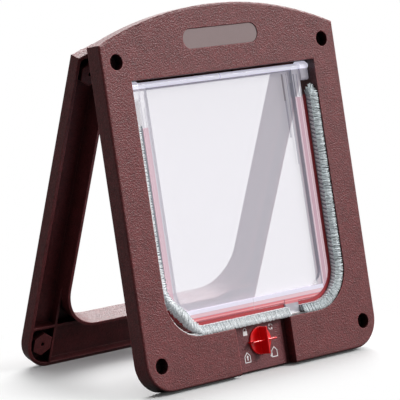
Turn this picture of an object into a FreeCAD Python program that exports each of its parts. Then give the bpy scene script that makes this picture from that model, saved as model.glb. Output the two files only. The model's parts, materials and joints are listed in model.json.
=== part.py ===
import FreeCAD, Part
import math
import os
import Sketcher

# Four-way locking cat flap, stood up for display: the front half with its clear flap leans back and
# the trim half for the other side of the door leans forward against it.
# The origin is on the floor, midway between the two feet, with +Z up and -Y to the front.
# Pieces of the front half are drawn in the plate's own frame: X across, Y up the plate and Z out of
# its front face, so a depth behind the face is negative. The trim half is drawn with its outer face
# at zero and +Z pointing into the room between the two halves.

doc = FreeCAD.newDocument("CatFlap")
sheet = doc.addObject("Spreadsheet::Sheet", "Sizes")


class Size:
    """A length that carries both its number and the sheet expression that gives it."""

    def __init__(self, value, text):
        self.value = float(value)
        self.text = text

    def __add__(self, other):
        other = as_size(other)
        return Size(self.value + other.value, f"({self.text} + {other.text})")

    def __radd__(self, other):
        return as_size(other) + self

    def __sub__(self, other):
        other = as_size(other)
        return Size(self.value - other.value, f"({self.text} - {other.text})")

    def __rsub__(self, other):
        return as_size(other) - self

    def __mul__(self, other):
        other = as_size(other)
        return Size(self.value * other.value, f"({self.text} * {other.text})")

    def __rmul__(self, other):
        return as_size(other) * self

    def __truediv__(self, other):
        other = as_size(other)
        return Size(self.value / other.value, f"({self.text} / {other.text})")

    def __neg__(self):
        return Size(-self.value, f"(0 - {self.text})")


def as_size(number):
    """Turns a plain number into a Size, so that both kinds can be mixed."""
    if isinstance(number, Size):
        return number
    return Size(number, repr(float(number)))


def root(size):
    """Square root of a Size."""
    return Size(math.sqrt(size.value), f"sqrt({size.text})")


def sine(degrees):
    """Sine of a Size in degrees."""
    return Size(math.sin(math.radians(degrees.value)), f"sin({degrees.text} * 1 deg)")


def cosine(degrees):
    """Cosine of a Size in degrees."""
    return Size(math.cos(math.radians(degrees.value)), f"cos({degrees.text} * 1 deg)")


rows = 0


def cell(alias, value):
    """Writes one driving dimension in the sheet and hands it back as a Size."""
    global rows
    rows += 1
    sheet.set(f"A{rows}", alias)
    sheet.set(f"B{rows}", str(value))
    sheet.setAlias(f"B{rows}", alias)
    return Size(value, f"Sizes.{alias}")


# Stance of the two halves on the floor, in degrees and millimetres
front_lean = cell("front_lean", 10.27)
rear_lean = cell("rear_lean", 17.84)
front_foot = cell("front_foot", 73.89)
lean_gap = cell("lean_gap", 0.25)

# Outline that both halves share
frame_width = cell("frame_width", 225.0)
crown_height = cell("crown_height", 262.8)
crown_rise = cell("crown_rise", 21.5)
foot_radius = cell("foot_radius", 22.0)
wall = cell("wall", 2.6)
edge_radius = cell("edge_radius", 1.6)
rib = cell("rib", 1.8)
crown_rib_step = cell("crown_rib_step", 39.7)
weld = cell("weld", 0.5)
past = cell("past", 1.0)

# Front half
front_depth = cell("front_depth", 13.1)
front_skin = cell("front_skin", 3.0)
collar_depth = cell("collar_depth", 18.5)
collar_wall = cell("collar_wall", 2.2)
side_rail = cell("side_rail", 24.3)
head_rail = cell("head_rail", 47.8)
opening_radius = cell("opening_radius", 31.0)

# Screw places at the four corners
screw_inset = cell("screw_inset", 13.3)
screw_low = cell("screw_low", 19.0)
screw_drop = cell("screw_drop", 12.5)
screw_bore = cell("screw_bore", 4.8)
head_bore = cell("head_bore", 11.2)
head_depth = cell("head_depth", 8.0)
boss_wall = cell("boss_wall", 2.0)

# Pill-shaped recess and its blank inlay
badge_drop = cell("badge_drop", 23.6)
badge_length = cell("badge_length", 72.0)
badge_width = cell("badge_width", 14.2)
badge_recess = cell("badge_recess", 1.5)
badge_thick = cell("badge_thick", 1.0)
badge_gap = cell("badge_gap", 0.15)
pill_flat = cell("pill_flat", 0.01)

# Lock bay below the sill, its cover, knob and cam
bay_half = cell("bay_half", 27.0)
bay_depth = cell("bay_depth", 8.0)
bay_floor = cell("bay_floor", 1.8)
window_half = cell("window_half", 19.0)
window_low = cell("window_low", 2.7)
cover_half = cell("cover_half", 23.4)
cover_low = cell("cover_low", 0.8)
cover_drop = cell("cover_drop", 0.5)
cover_thick = cell("cover_thick", 1.5)
cover_corner = cell("cover_corner", 1.0)
small_bevel = cell("small_bevel", 0.4)
peg_stand = cell("peg_stand", 0.6)
peg_diameter = cell("peg_diameter", 2.8)
peg_gap = cell("peg_gap", 0.15)
peg_across = cell("peg_across", 21.2)
peg_rise = cell("peg_rise", 10.0)
knob_height = cell("knob_height", 21.0)
knob_margin = cell("knob_margin", 2.4)
knob_disc = cell("knob_disc", 1.3)
fin_rise = cell("fin_rise", 7.6)
fin_width = cell("fin_width", 4.4)
fin_shoulder = cell("fin_shoulder", 3.4)
fin_inset = cell("fin_inset", 1.0)
fin_bevel = cell("fin_bevel", 1.0)
bar_rise = cell("bar_rise", 4.6)
bar_half = cell("bar_half", 11.6)
bar_width = cell("bar_width", 4.6)
bar_round = cell("bar_round", 2.1)
stem_diameter = cell("stem_diameter", 7.8)
turning_gap = cell("turning_gap", 0.2)
lobe_gap = cell("lobe_gap", 0.3)
key_width = cell("key_width", 4.8)
lobe_reach = cell("lobe_reach", 5.5)
lobe_thick = cell("lobe_thick", 1.0)
lobe_angle = cell("lobe_angle", 156.0)
lobe_spread = cell("lobe_spread", 90.0)
cam_web = cell("cam_web", 2.1)
cam_hub = cell("cam_hub", 11.0)
screw_thread = cell("screw_thread", 2.0)
thread_gap = cell("thread_gap", 0.02)
screw_head = cell("screw_head", 7.4)
head_thick = cell("head_thick", 1.2)

# Clear flap and what is fitted to its edge
pivot_drop = cell("pivot_drop", 4.0)
pivot_depth = cell("pivot_depth", 9.0)
rod_diameter = cell("rod_diameter", 4.6)
axle_diameter = cell("axle_diameter", 4.2)
axle_gap = cell("axle_gap", 0.05)
flap_inset = cell("flap_inset", 9.2)
rim_front = cell("rim_front", 7.0)
rim_thick = cell("rim_thick", 5.0)
rim_width = cell("rim_width", 8.6)
panel_thick = cell("panel_thick", 2.5)
rim_edge = cell("rim_edge", 0.8)
ear_radius = cell("ear_radius", 3.6)
ear_drop = cell("ear_drop", 10.6)
ear_width = cell("ear_width", 7.6)
ear_corner = cell("ear_corner", 2.0)
lug_half = cell("lug_half", 6.0)
lug_thick = cell("lug_thick", 1.6)
lug_gap = cell("lug_gap", 0.25)
lug_bite = cell("lug_bite", 3.0)
strip_gap = cell("strip_gap", 0.2)
strip_width = cell("strip_width", 2.6)
strip_front = cell("strip_front", 7.6)
strip_thick = cell("strip_thick", 1.7)
brush_front = cell("brush_front", 2.2)
brush_thick = cell("brush_thick", 5.8)
brush_gap = cell("brush_gap", 0.4)
left_strip_drop = cell("left_strip_drop", 29.0)
right_strip_drop = cell("right_strip_drop", 21.0)
brush_over = cell("brush_over", 2.0)

# Magnet catch
magnet_across = cell("magnet_across", 36.5)
magnet_length = cell("magnet_length", 8.0)
magnet_width = cell("magnet_width", 5.0)
magnet_thick = cell("magnet_thick", 3.4)
magnet_gap = cell("magnet_gap", 0.15)
block_half = cell("block_half", 6.5)
block_wall = cell("block_wall", 1.5)
block_drop = cell("block_drop", 7.8)
block_root = cell("block_root", 3.0)
block_corner = cell("block_corner", 1.0)
cap_thick = cell("cap_thick", 2.0)

# Clips that hold the flap's stub axles
clip_head = cell("clip_head", 8.4)
clip_head_thick = cell("clip_head_thick", 1.4)
clip_gap = cell("clip_gap", 0.1)
clip_corner = cell("clip_corner", 0.8)
clip_reach = cell("clip_reach", 2.8)

# Trim half
rear_depth = cell("rear_depth", 9.34)
rear_skin = cell("rear_skin", 2.6)
rear_wall = cell("rear_wall", 2.6)
rear_collar = cell("rear_collar", 17.5)
rear_boss = cell("rear_boss", 15.4)
boss_proud = cell("boss_proud", 0.3)
pilot_bore = cell("pilot_bore", 3.2)
pilot_depth = cell("pilot_depth", 7.5)

doc.recompute()

half_width = frame_width / 2
crown_radius = (half_width * half_width + crown_rise * crown_rise) / (2 * crown_rise)
crown_centre = crown_height - crown_radius
opening_half = half_width - side_rail
lobe_radius = knob_height - window_low - lobe_gap
sill_height = knob_height + lobe_radius - lobe_reach
knob_diameter = 2 * (sill_height - knob_height - knob_margin)
cover_high = sill_height - cover_drop
opening_top = crown_height - head_rail
screw_across = half_width - screw_inset
screw_high = crown_height - crown_rise - screw_drop
badge_height = crown_height - badge_drop
pivot_height = opening_top - pivot_drop
left_strip_top = pivot_height - left_strip_drop
right_strip_top = pivot_height - right_strip_drop
left_and_right = (-1, 1)

bodies = []


# Helpers for bodies, sketches and features


def origin_plane(body, role):
    """Finds one of the body's own origin planes."""
    return next(item for item in body.Origin.OriginFeatures if item.Role == role)


def stand_on_front(item):
    """Places a piece in the leaning frame of the front half."""
    item.Placement.Rotation = FreeCAD.Rotation(FreeCAD.Vector(1, 0, 0), 90 - front_lean.value)
    item.setExpression("Placement.Rotation.Angle", f"(90 - {front_lean.text}) * 1 deg")
    item.setExpression("Placement.Base.y", (-front_foot).text)
    item.setExpression("Placement.Base.z", (front_depth * sine(front_lean)).text)


def new_body(name, place=stand_on_front):
    """Adds a body, puts it in its frame and keeps it for the export."""
    body = doc.addObject("PartDesign::Body", name)
    body.Label = name
    place(body)
    bodies.append(body)
    return body


def new_sketch(body, level=0, role="XY_Plane"):
    """Adds a sketch on one of the body's planes, raised to a level along that plane's normal."""
    sketch = body.newObject("Sketcher::SketchObject", "Sketch")
    sketch.AttachmentSupport = [(origin_plane(body, role), "")]
    sketch.MapMode = "FlatFace"
    level = as_size(level)
    sketch.AttachmentOffset = FreeCAD.Placement(FreeCAD.Vector(0, 0, level.value), FreeCAD.Rotation())
    sketch.setExpression("AttachmentOffset.Base.z", level.text)
    return sketch


def pin_point(sketch, geometry, position, x, y):
    """Ties one point of a sketch to the sketch's origin in both directions."""
    for kind, size in (("DistanceX", x), ("DistanceY", y)):
        number = sketch.addConstraint(Sketcher.Constraint(kind, -1, 1, geometry, position, size.value))
        sketch.setExpression(f"Constraints[{number}]", size.text)


def add_circle(sketch, x, y, diameter):
    """Draws a circle with its centre and diameter tied to the sheet."""
    x, y, diameter = as_size(x), as_size(y), as_size(diameter)
    centre = FreeCAD.Vector(x.value, y.value, 0)
    circle = sketch.addGeometry(Part.Circle(centre, FreeCAD.Vector(0, 0, 1), diameter.value / 2))
    pin_point(sketch, circle, 3, x, y)
    number = sketch.addConstraint(Sketcher.Constraint("Diameter", circle, diameter.value))
    sketch.setExpression(f"Constraints[{number}]", diameter.text)


class Corner:
    """A corner of a closed outline: where it is, how far it is rounded, and how the next edge bows."""

    def __init__(self, x, y, radius=None, through=None):
        self.x = as_size(x)
        self.y = as_size(y)
        self.radius = None if radius is None else as_size(radius)
        self.through = None if through is None else (as_size(through[0]), as_size(through[1]))
        self.point = FreeCAD.Vector(self.x.value, self.y.value, 0)


def add_outline(sketch, corners):
    """Draws a closed outline through its corners, with rounded corners and bowed edges."""
    count = len(corners)
    entries = []
    exits = []
    for index, corner in enumerate(corners):
        entry = corner.point
        leave = corner.point
        if corner.radius is not None:
            before = (corners[index - 1].point - corner.point).normalize()
            after = (corners[(index + 1) % count].point - corner.point).normalize()
            setback = corner.radius.value / math.tan(before.getAngle(after) / 2)
            entry = corner.point + before * setback
            leave = corner.point + after * setback
        entries.append(entry)
        exits.append(leave)
    edges = []
    for index, corner in enumerate(corners):
        start = exits[index]
        end = entries[(index + 1) % count]
        if corner.through is None:
            edges.append(sketch.addGeometry(Part.LineSegment(start, end)))
            continue
        middle = FreeCAD.Vector(corner.through[0].value, corner.through[1].value, 0)
        edges.append(sketch.addGeometry(Part.Arc(start, middle, end)))
    for index, corner in enumerate(corners):
        before = edges[index - 1]
        after = edges[index]
        if corner.radius is None:
            before_end = end_at(sketch, before, corner.point)
            after_end = end_at(sketch, after, corner.point)
            sketch.addConstraint(Sketcher.Constraint("Coincident", before, before_end, after, after_end))
            pin_point(sketch, after, after_end, corner.x, corner.y)
        else:
            round_corner(sketch, corner, before, after, entries[index], exits[index])
    for index, corner in enumerate(corners):
        if corner.through is not None:
            middle = FreeCAD.Vector(corner.through[0].value, corner.through[1].value, 0)
            mark = sketch.addGeometry(Part.Point(middle))
            sketch.toggleConstruction(mark)
            pin_point(sketch, mark, 1, *corner.through)
            sketch.addConstraint(Sketcher.Constraint("PointOnObject", mark, 1, edges[index]))


def end_at(sketch, geometry, point):
    """Says which end of an edge lies at a point."""
    start = sketch.getPoint(geometry, 1)
    return 1 if start.distanceToPoint(point) < 1e-6 else 2


def round_corner(sketch, corner, before, after, entry, leave):
    """Joins two straight edges by a tangent arc whose sharp corner stays tied to the sheet."""
    inward = ((entry - corner.point) + (leave - corner.point)).normalize()
    reach = math.hypot(corner.radius.value, entry.distanceToPoint(corner.point))
    centre = corner.point + inward * reach
    first = math.atan2(entry.y - centre.y, entry.x - centre.x)
    last = math.atan2(leave.y - centre.y, leave.x - centre.x)
    turns_left = (last - first) % (2 * math.pi) < math.pi
    if not turns_left:
        first, last = last, first
    circle = Part.Circle(centre, FreeCAD.Vector(0, 0, 1), corner.radius.value)
    arc = sketch.addGeometry(Part.ArcOfCircle(circle, first, last))
    entry_end, leave_end = (1, 2) if turns_left else (2, 1)
    sketch.addConstraint(Sketcher.Constraint("Tangent", before, end_at(sketch, before, entry), arc, entry_end))
    sketch.addConstraint(Sketcher.Constraint("Tangent", arc, leave_end, after, end_at(sketch, after, leave)))
    number = sketch.addConstraint(Sketcher.Constraint("Radius", arc, corner.radius.value))
    sketch.setExpression(f"Constraints[{number}]", corner.radius.text)
    mark = sketch.addGeometry(Part.Point(corner.point))
    sketch.toggleConstruction(mark)
    sketch.addConstraint(Sketcher.Constraint("PointOnObject", mark, 1, before))
    sketch.addConstraint(Sketcher.Constraint("PointOnObject", mark, 1, after))
    pin_point(sketch, mark, 1, corner.x, corner.y)


def rectangle(left, right, low, high, low_radius=None, high_radius=None):
    """Corners of an upright rectangle, anticlockwise from its lower left."""
    return [
        Corner(left, low, low_radius),
        Corner(right, low, low_radius),
        Corner(right, high, high_radius),
        Corner(left, high, high_radius),
    ]


def hexagon(x, y, flats):
    """Corners of a hexagon that stands on a point, from its width across flats."""
    half = flats / 2
    tip = flats / root(as_size(3))
    return [
        Corner(x, y - tip),
        Corner(x + half, y - tip / 2),
        Corner(x + half, y + tip / 2),
        Corner(x, y + tip),
        Corner(x - half, y + tip / 2),
        Corner(x - half, y - tip / 2),
    ]


def pad(body, sketch, length, downwards=False, both_ways=False):
    """Adds material from a sketch."""
    feature = body.newObject("PartDesign::Pad", "Pad")
    return finish(feature, sketch, length, downwards, both_ways)


def pocket(body, sketch, length, upwards=False, both_ways=False):
    """Cuts material away below a sketch, or above it."""
    feature = body.newObject("PartDesign::Pocket", "Pocket")
    return finish(feature, sketch, length, upwards, both_ways)


def finish(feature, sketch, length, reversed_way, both_ways):
    """Gives a pad or pocket its sketch, length and direction, and builds it."""
    length = as_size(length)
    feature.Profile = sketch
    feature.Length = length.value
    feature.setExpression("Length", length.text)
    feature.Reversed = reversed_way
    if both_ways:
        feature.SideType = "Symmetric"
    doc.recompute()
    return feature


def round_edges(body, feature, radius, wanted):
    """Rounds the edges of a feature that a test picks out."""
    return dress_edges(body, feature, "Fillet", "Radius", radius, wanted)


def bevel_edges(body, feature, size, wanted):
    """Bevels the edges of a feature that a test picks out."""
    return dress_edges(body, feature, "Chamfer", "Size", size, wanted)


def dress_edges(body, feature, kind, measure, size, wanted):
    """Adds a fillet or chamfer to the wanted edges, with its measure tied to the sheet."""
    names = [f"Edge{number + 1}" for number, edge in enumerate(feature.Shape.Edges) if wanted(edge)]
    dressing = body.newObject(f"PartDesign::{kind}", kind)
    dressing.Base = (feature, names)
    setattr(dressing, measure, size.value)
    dressing.setExpression(measure, size.text)
    doc.recompute()
    return dressing


def lies_level(edge, height):
    """Tells whether an edge lies wholly at one height of its body's frame."""
    box = edge.BoundBox
    return abs(box.ZMin - height) < 1e-4 and abs(box.ZMax - height) < 1e-4


def frame_outline(inset=0):
    """Outline of a half: round feet, straight sides, sharp shoulders and a bowed crown."""
    inset = as_size(inset)
    side = half_width - inset
    radius = crown_radius - inset
    shoulder = crown_centre + root(radius * radius - side * side)
    return [
        Corner(-side, inset, foot_radius - inset),
        Corner(side, inset, foot_radius - inset),
        Corner(side, shoulder, None, (0, crown_height - inset)),
        Corner(-side, shoulder),
    ]


def opening_outline(outset=0):
    """Outline of the opening: square head, round lower corners."""
    side = opening_half + outset
    return rectangle(-side, side, sill_height - outset, opening_top + outset, opening_radius + outset)


def shell_half(body, depth, skin, thickness, collar, into_door):
    """Builds the moulding that both halves share: rounded tray, ribs and the opening's collar.

    into_door is -1 where the hollow lies at negative depths and +1 where it lies at positive ones.
    """
    backwards = into_door < 0
    outline = new_sketch(body)
    add_outline(outline, frame_outline())
    plate = pad(body, outline, depth, downwards=backwards)
    round_edges(body, plate, edge_radius, lambda edge: lies_level(edge, 0))
    hollow = new_sketch(body, skin * into_door)
    add_outline(hollow, frame_outline(thickness))
    pocket(body, hollow, depth, upwards=not backwards)
    inner = skin * into_door * 0.5
    collar_sketch = new_sketch(body, inner)
    add_outline(collar_sketch, opening_outline(collar_wall))
    pad(body, collar_sketch, collar - skin * 0.5, downwards=backwards)
    collar_side = opening_half + collar_wall
    collar_foot = sill_height - collar_wall
    collar_head = opening_top + collar_wall
    level_ribs = new_sketch(body, inner)
    for side in left_and_right:
        near = side * (opening_half - opening_radius)
        far = side * (half_width - thickness * 0.5)
        low, high = collar_foot, collar_foot + rib
        add_outline(level_ribs, rectangle(min_size(near, far), max_size(near, far), low, high))
    pad(body, level_ribs, depth - skin * 0.5, downwards=backwards)
    upright_ribs = new_sketch(body, inner)
    for side in left_and_right:
        middle = side * (collar_side - rib / 2)
        low = thickness * 0.5
        high = sill_height + opening_radius
        add_outline(upright_ribs, rectangle(middle - rib / 2, middle + rib / 2, low, high))
    for step in (-1, 0, 1):
        middle = step * crown_rib_step
        head = crown_centre + root(crown_radius * crown_radius - middle * middle) - thickness * 0.5
        low = collar_head - weld
        add_outline(upright_ribs, rectangle(middle - rib / 2, middle + rib / 2, low, head))
    pad(body, upright_ribs, depth - skin * 0.5, downwards=backwards)


def min_size(one, other):
    """The smaller of two sizes."""
    return one if one.value < other.value else other


def max_size(one, other):
    """The larger of two sizes."""
    return other if one.value < other.value else one


def corner_circles(sketch, diameter):
    """Draws one circle at each of the four screw places."""
    for side in left_and_right:
        for height in (screw_low, screw_high):
            add_circle(sketch, side * screw_across, height, diameter)


# Front half, one moulding


def build_front_frame():
    body = new_body("front_frame")
    shell_half(body, front_depth, front_skin, wall, collar_depth, -1)
    inner = front_skin * -0.5
    bosses = new_sketch(body, inner)
    corner_circles(bosses, head_bore + 2 * boss_wall)
    pad(body, bosses, front_depth - front_skin * 0.5, downwards=True)
    bay = new_sketch(body, inner)
    bay_side = bay_half + collar_wall
    add_outline(bay, rectangle(-bay_side, bay_side, wall * 0.5, sill_height - collar_wall / 2))
    pad(body, bay, front_depth - front_skin * 0.5, downwards=True)
    holder = new_sketch(body, inner)
    add_outline(holder, magnet_holder_outline(collar_wall, sill_height - collar_wall / 2))
    pad(body, holder, front_depth - front_skin * 0.5, downwards=True)
    opening = new_sketch(body, past)
    add_outline(opening, opening_outline())
    pocket(body, opening, collar_depth + 2 * past)
    heads = new_sketch(body)
    corner_circles(heads, head_bore)
    pocket(body, heads, head_depth)
    shanks = new_sketch(body)
    corner_circles(shanks, screw_bore)
    pocket(body, shanks, front_depth + past)
    recess = new_sketch(body)
    add_outline(recess, badge_outline(0))
    pocket(body, recess, badge_recess)
    cut_lock_bay(body)
    cut_axle_slots(body)
    magnet_room = new_sketch(body, -(front_depth - cap_thick - magnet_thick - magnet_gap))
    add_outline(magnet_room, magnet_holder_outline(0, sill_height - collar_wall))
    pocket(body, magnet_room, front_depth)


def magnet_holder_outline(outset, high):
    """Walls of the pocket for the fixed magnet, up to a height below the sill."""
    length = magnet_length / 2 + magnet_gap + outset
    low = sill_height - collar_wall - magnet_width - 2 * magnet_gap - outset
    return rectangle(magnet_across - length, magnet_across + length, low, high)


def badge_outline(inset):
    """Pill outline of the recess, or of what lies in it."""
    length = badge_length / 2 - inset
    width = badge_width / 2 - inset
    radius = width - pill_flat
    return rectangle(-length, length, badge_height - width, badge_height + width, radius, radius)


def cut_lock_bay(body):
    """Cuts the bay for the lock cover, the cam's window, the peg holes and the two slots in the sill."""
    sill_foot = sill_height - collar_wall
    bay = new_sketch(body)
    add_outline(bay, rectangle(-bay_half, bay_half, -past, sill_height + past))
    pocket(body, bay, bay_depth)
    window = new_sketch(body)
    add_outline(window, rectangle(-window_half, window_half, window_low, sill_foot))
    pocket(body, window, front_depth + past)
    cores = new_sketch(body, -(bay_depth + bay_floor))
    for side in left_and_right:
        near = side * (window_half + rib)
        far = side * bay_half
        add_outline(cores, rectangle(min_size(near, far), max_size(near, far), wall, sill_foot))
    pocket(body, cores, front_depth)
    pegs = new_sketch(body)
    peg_circles(pegs, peg_diameter + 2 * peg_gap)
    pocket(body, pegs, front_depth)
    reach = root(lobe_radius * lobe_radius - (sill_foot - knob_height) * (sill_foot - knob_height))
    for level in (front_lobe_level, rear_lobe_level):
        slot = new_sketch(body, level + lobe_gap)
        half = reach + 2 * lobe_gap
        add_outline(slot, rectangle(-half, half, sill_foot - past, sill_height + past))
        pocket(body, slot, lobe_thick + 2 * lobe_gap)


def peg_circles(sketch, diameter):
    """Draws the four places where the lock cover's pegs pass the bay's floor."""
    middle = (wall + sill_height - collar_wall) / 2
    for side in left_and_right:
        for step in left_and_right:
            add_circle(sketch, side * peg_across, middle + step * peg_rise, diameter)


def cut_axle_slots(body):
    """Cuts a slot in each side of the collar, open to the back, where a stub axle drops in."""
    slot = new_sketch(body, 0, "YZ_Plane")
    half = axle_diameter / 2 + axle_gap
    low = pivot_height - half
    high = pivot_height + half
    back = -(collar_depth + past)
    front = -pivot_depth
    corners = [
        Corner(low, back),
        Corner(high, back),
        Corner(high, front, None, (pivot_height, front + half)),
        Corner(low, front),
    ]
    add_outline(slot, corners)
    pocket(body, slot, 2 * (opening_half + collar_wall + weld), both_ways=True)


# Lock: cover, knob, cam and the screw that draws them together

cover_back = -bay_depth
cover_front = cover_back + cover_thick
front_lobe_level = cover_back - lobe_gap
rear_lobe_level = front_lobe_level - lobe_thick - cam_web
cam_back = rear_lobe_level - lobe_thick


def build_badge_plate():
    body = new_body("badge_plate")
    plate = new_sketch(body, -badge_recess)
    add_outline(plate, badge_outline(badge_gap))
    pad(body, plate, badge_thick)


def build_lock_cover():
    body = new_body("lock_cover")
    plate = new_sketch(body, cover_back)
    add_outline(plate, rectangle(-cover_half, cover_half, cover_low, cover_high, cover_corner, cover_corner))
    raised = pad(body, plate, cover_thick)
    bevel_edges(body, raised, small_bevel, lambda edge: lies_level(edge, cover_front.value))
    pegs = new_sketch(body, cover_back + cover_thick * 0.5)
    peg_circles(pegs, peg_diameter)
    pad(body, pegs, cover_thick * 0.5 + bay_floor + peg_stand, downwards=True)
    bore = new_sketch(body, cover_front + past)
    add_circle(bore, 0, knob_height, stem_diameter + 2 * turning_gap)
    pocket(body, bore, cover_thick + 2 * past)


def build_lock_knob():
    body = new_body("lock_knob")
    disc_back = cover_front + turning_gap
    disc = new_sketch(body, disc_back)
    add_circle(disc, 0, knob_height, knob_diameter)
    face = pad(body, disc, knob_disc)
    rim = disc_back + knob_disc
    bevel_edges(body, face, small_bevel, lambda edge: lies_level(edge, rim.value))
    stem = new_sketch(body, disc_back + knob_disc * 0.5)
    add_circle(stem, 0, knob_height, stem_diameter)
    pad(body, stem, knob_disc * 0.5 + turning_gap + cover_thick + lobe_gap, downwards=True)
    key = new_sketch(body, disc_back)
    half = key_width / 2
    add_outline(key, rectangle(-half, half, knob_height - half, knob_height + half))
    pad(body, key, disc_back - cam_back, downwards=True)
    bar = new_sketch(body, rim - knob_disc * 0.5)
    bar_low = knob_height - bar_width / 2
    bar_high = knob_height + bar_width / 2
    add_outline(bar, rectangle(-bar_half, bar_half, bar_low, bar_high, bar_round, bar_round))
    crossbar = pad(body, bar, bar_rise + knob_disc * 0.5)
    top = rim + bar_rise
    bevel_edges(body, crossbar, small_bevel, lambda edge: lies_level(edge, top.value))
    build_fin(body, rim)
    thread = new_sketch(body, cam_back - past)
    add_circle(thread, 0, knob_height, screw_thread)
    pocket(body, thread, cover_thick + lobe_thick + cam_web + 3 * past, upwards=True)


def build_fin(body, rim):
    """Adds the upright grip of the knob, arched from the disc's top edge to its bottom edge."""
    fin = new_sketch(body, 0, "YZ_Plane")
    radius = knob_diameter / 2
    low = knob_height - radius + fin_inset
    high = knob_height + radius - fin_inset
    foot = rim - knob_disc * 0.5
    corners = [
        Corner(low, foot),
        Corner(high, foot),
        Corner(high, rim + fin_shoulder, None, (knob_height, rim + fin_rise)),
        Corner(low, rim + fin_shoulder),
    ]
    add_outline(fin, corners)
    grip = pad(body, fin, fin_width, both_ways=True)
    half = fin_width.value / 2
    crest = rim.value + bar_rise.value + fin_inset.value

    def along_crest(edge):
        box = edge.BoundBox
        flat = box.XMax - box.XMin < 1e-4 and abs(abs(box.XMin) - half) < 1e-4
        return flat and box.ZMax > crest and box.YMax - box.YMin > bar_width.value / 2

    bevel_edges(body, grip, fin_bevel, along_crest)


def build_lock_cam():
    body = new_body("lock_cam")
    hub = new_sketch(body, front_lobe_level)
    add_circle(hub, 0, knob_height, cam_hub)
    pad(body, hub, front_lobe_level - cam_back, downwards=True)
    start = -(90 + lobe_spread / 2)
    build_lobe(body, front_lobe_level, start)
    build_lobe(body, rear_lobe_level, start + lobe_spread)
    key = new_sketch(body, front_lobe_level + past)
    half = key_width / 2 + clip_gap
    add_outline(key, rectangle(-half, half, knob_height - half, knob_height + half))
    pocket(body, key, front_depth)


def build_lobe(body, level, direction):
    """Adds one part-disc lobe of the cam, centred on a direction in degrees."""
    first = direction - lobe_angle / 2
    last = direction + lobe_angle / 2
    lobe = new_sketch(body, level)
    corners = [
        Corner(0, knob_height),
        Corner(lobe_radius * cosine(first), knob_height + lobe_radius * sine(first), None,
               (lobe_radius * cosine(direction), knob_height + lobe_radius * sine(direction))),
        Corner(lobe_radius * cosine(last), knob_height + lobe_radius * sine(last)),
    ]
    add_outline(lobe, corners)
    pad(body, lobe, lobe_thick, downwards=True)


def build_cam_screw():
    body = new_body("cam_screw")
    head = new_sketch(body, cam_back)
    add_circle(head, 0, knob_height, screw_head)
    top = pad(body, head, head_thick, downwards=True)
    back = cam_back - head_thick
    bevel_edges(body, top, small_bevel, lambda edge: lies_level(edge, back.value))
    shank = new_sketch(body, cam_back - head_thick * 0.5)
    add_circle(shank, 0, knob_height, screw_thread - 2 * thread_gap)
    pad(body, shank, head_thick * 0.5 + cover_thick + lobe_thick + cam_web)
    cross = new_sketch(body, back)
    half = head_thick / 4
    reach = screw_head / 4
    add_outline(cross, rectangle(-reach, reach, knob_height - half, knob_height + half))
    pocket(body, cross, head_thick * 0.5, upwards=True)
    upright = new_sketch(body, back)
    add_outline(upright, rectangle(-half, half, knob_height - reach, knob_height + reach))
    pocket(body, upright, head_thick * 0.5, upwards=True)


# Clear flap with its stub axles, and what rides on it

flap_half = opening_half - flap_inset
flap_low = sill_height + flap_inset
rim_radius = opening_radius - flap_inset
rim_back = -(rim_front + rim_thick)
lug_front = front_lobe_level - lobe_thick - lug_gap
lug_low = knob_height + lobe_radius - lug_bite


def build_flap_panel():
    body = new_body("flap_panel")
    sheet_sketch = new_sketch(body, -rim_front)
    panel_top = pivot_height - weld
    add_outline(sheet_sketch, rectangle(-flap_half, flap_half, flap_low, panel_top, rim_radius))
    block = pad(body, sheet_sketch, rim_thick, downwards=True)
    bevel_edges(body, block, rim_edge, lambda edge: runs_round_the_foot(edge, -rim_front.value))
    hollow = new_sketch(body, -rim_front)
    side = flap_half - rim_width
    inner_radius = rim_radius - rim_width
    add_outline(hollow, rectangle(-side, side, flap_low + rim_width, pivot_height + past, inner_radius))
    pocket(body, hollow, rim_thick - panel_thick)
    rod = new_sketch(body, 0, "YZ_Plane")
    add_circle(rod, pivot_height, -pivot_depth, rod_diameter)
    pad(body, rod, 2 * (flap_half + weld), both_ways=True)
    axle = new_sketch(body, 0, "YZ_Plane")
    add_circle(axle, pivot_height, -pivot_depth, axle_diameter)
    pad(body, axle, 2 * (opening_half + collar_wall + axle_gap * 4), both_ways=True)
    for side in left_and_right:
        build_ear(body, side)
    lug = new_sketch(body, lug_front)
    add_outline(lug, rectangle(-lug_half, lug_half, lug_low, flap_low + past, block_corner))
    pad(body, lug, lug_thick, downwards=True)
    catch = new_sketch(body, -rim_front + weld)
    left = magnet_across - block_half
    right = magnet_across + block_half
    add_outline(catch, rectangle(left, right, flap_low - block_drop, flap_low + block_root, block_corner))
    pad(body, catch, rim_thick + weld, downwards=True)
    room = new_sketch(body, rim_back - past)
    add_outline(room, flap_magnet_outline(magnet_gap))
    pocket(body, room, magnet_thick + magnet_gap + past, upwards=True)


def runs_round_the_foot(edge, height):
    """Picks the front edges of the flap's rim, but not its top edge."""
    return lies_level(edge, height) and edge.BoundBox.YMin < pivot_height.value - rod_diameter.value


def build_ear(body, side):
    """Adds the rounded ear that carries the flap's rim up to its axle."""
    inner = flap_half - past
    ear = new_sketch(body, inner if side > 0 else -(inner + ear_width), "YZ_Plane")
    low = pivot_height - ear_drop
    front = -pivot_depth + ear_radius
    back = -pivot_depth - ear_radius
    corners = [
        Corner(pivot_height, back),
        Corner(low, rim_back, ear_corner),
        Corner(low, front, ear_corner),
        Corner(pivot_height, front, None, (pivot_height + ear_radius, -pivot_depth)),
    ]
    add_outline(ear, corners)
    pad(body, ear, ear_width)


def flap_magnet_outline(outset):
    """Outline of the flap's magnet, or of its room in the clear block."""
    length = magnet_length / 2 + outset
    middle = flap_low - block_drop + block_wall + magnet_width / 2 + magnet_gap
    width = magnet_width / 2 + outset
    return rectangle(magnet_across - length, magnet_across + length, middle - width, middle + width)


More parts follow.
